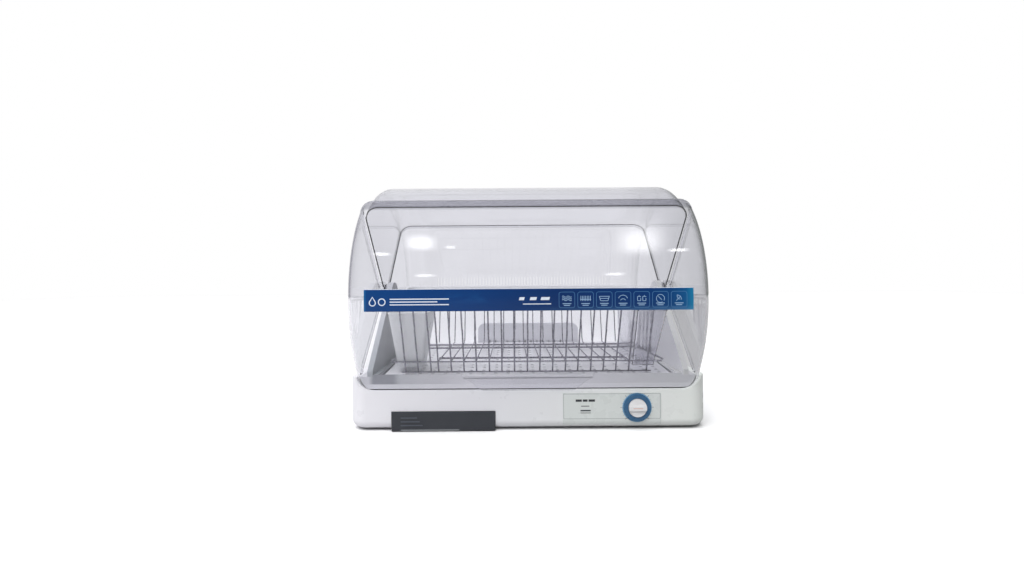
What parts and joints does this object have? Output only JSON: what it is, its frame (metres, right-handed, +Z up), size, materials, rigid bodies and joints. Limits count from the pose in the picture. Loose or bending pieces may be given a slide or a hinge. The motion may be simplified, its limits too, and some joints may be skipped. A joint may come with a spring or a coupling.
{
  "type": "hot-air bottle steriliser cabinet",
  "caption": "Countertop hot-air bottle steriliser: white base, clear roll-top cover, wire rack, drain plate, drip tray, timer knob, fan and heater.",
  "frame": {"origin": "on the resting surface, under the middle of the whole object's box", "axes": "+X to the right seen from the front, +Y to the rear, +Z up; the front faces -Y"},
  "size_m": [0.535, 0.3795, 0.384],
  "materials": {
    "clear_plastic": "clear moulded plastic, polished",
    "label_film": "printed blue film, glossy",
    "white_plastic": "white moulded plastic, satin gloss",
    "panel_plastic": "pale printed film",
    "knob_plastic": "white moulded plastic",
    "ring_plastic": "blue moulded ring",
    "tray_plastic": "dark blue-grey moulded plastic",
    "hood_plastic": "grey moulded plastic",
    "milky_plastic": "milky translucent plastic",
    "smoky_plastic": "smoky translucent plastic",
    "rack_wire": "bright steel wire",
    "steel": "plain steel",
    "bush_plastic": "natural nylon",
    "foot_rubber": "black rubber",
    "duct_plastic": "black moulded plastic",
    "duct_metal": "zinc-coated sheet",
    "heater_fins": "bare aluminium fins",
    "fuse_glass": "clear glass sleeve",
    "filter_foam": "open-cell foam"
  },
  "bodies": {
    "root": {"base_housing": "white_plastic", "bottom_plate": "white_plastic", "base_screws": "steel", "rubber_feet": "foot_rubber", "inner_deck": "white_plastic", "tower_screws": "steel", "left_tower": "white_plastic", "right_tower": "white_plastic", "hinge_pins": "steel", "hinge_caps": "white_plastic", "top_cover": "clear_plastic", "back_cover": "clear_plastic", "rear_lining": "white_plastic", "control_panel": "panel_plastic", "knob_ring": "ring_plastic", "timer_body": "duct_plastic", "outlet_hood": "hood_plastic", "fan_housing": "duct_plastic", "fan_motor": "duct_metal", "heater_duct": "duct_metal", "ptc_heater": "heater_fins", "thermostat": "steel", "thermal_fuse": "fuse_glass", "terminal_block": "duct_plastic", "cord_gland": "foot_rubber"},
    "front_cover": {"front_cover": "clear_plastic", "label_strip": "label_film", "hinge_bushes": "bush_plastic"},
    "timer_knob": {"timer_knob": "knob_plastic", "timer_shaft": "steel"},
    "drip_tray": {"drip_tray": "tray_plastic"},
    "fan_rotor": {"fan_rotor": "duct_plastic", "motor_shaft": "steel"},
    "air_filter": {"filter_frame": "white_plastic", "filter_pad": "filter_foam"},
    "drain_plate": {"drain_plate": "white_plastic"},
    "dish_rack": {"rack_rim": "rack_wire", "rack_front_bars": "rack_wire", "rack_rear_bars": "rack_wire", "rack_floor_bars": "rack_wire", "rack_long_wires": "rack_wire", "rack_end_rails": "rack_wire", "rack_end_bars": "rack_wire"},
    "cutlery_box": {"cutlery_box": "milky_plastic"},
    "accessory_box": {"accessory_box": "smoky_plastic"}
  },
  "joints": [
    {"name": "front_cover_hinge", "type": "hinge", "parent": "root", "child": "front_cover", "pos_m": [0, 0.0031, 0.195], "axis": [-1, 0, 0], "range_deg": [0, 95]},
    {"name": "timer_turn", "type": "hinge", "parent": "root", "child": "timer_knob", "pos_m": [0.1605, -0.1459, 0.0335], "axis": [0, 1, 0], "range_deg": [0, 300]},
    {"name": "drip_tray_slide", "type": "slide", "parent": "root", "child": "drip_tray", "axis": [0, -1, 0], "range_m": [0, 0.11]},
    {"name": "fan_spin", "type": "hinge", "parent": "root", "child": "fan_rotor", "pos_m": [-0.01, 0.0451, 0.03], "axis": [0, 0, 1], "continuous": true},
    {"name": "filter_slide", "type": "slide", "parent": "root", "child": "air_filter", "axis": [0, 1, 0], "range_m": [0, 0.05]},
    {"name": "drain_plate_lift", "type": "slide", "parent": "root", "child": "drain_plate", "axis": [0, 0, 1], "range_m": [0, 0.015]},
    {"name": "dish_rack_lift", "type": "slide", "parent": "drain_plate", "child": "dish_rack", "axis": [0, 0, 1], "range_m": [0, 0.02]},
    {"name": "cutlery_box_lift", "type": "slide", "parent": "dish_rack", "child": "cutlery_box", "axis": [0, 0, 1], "range_m": [0, 0.04]},
    {"name": "accessory_box_lift", "type": "slide", "parent": "dish_rack", "child": "accessory_box", "axis": [0, 0, 1], "range_m": [0, 0.04]}
  ]
}
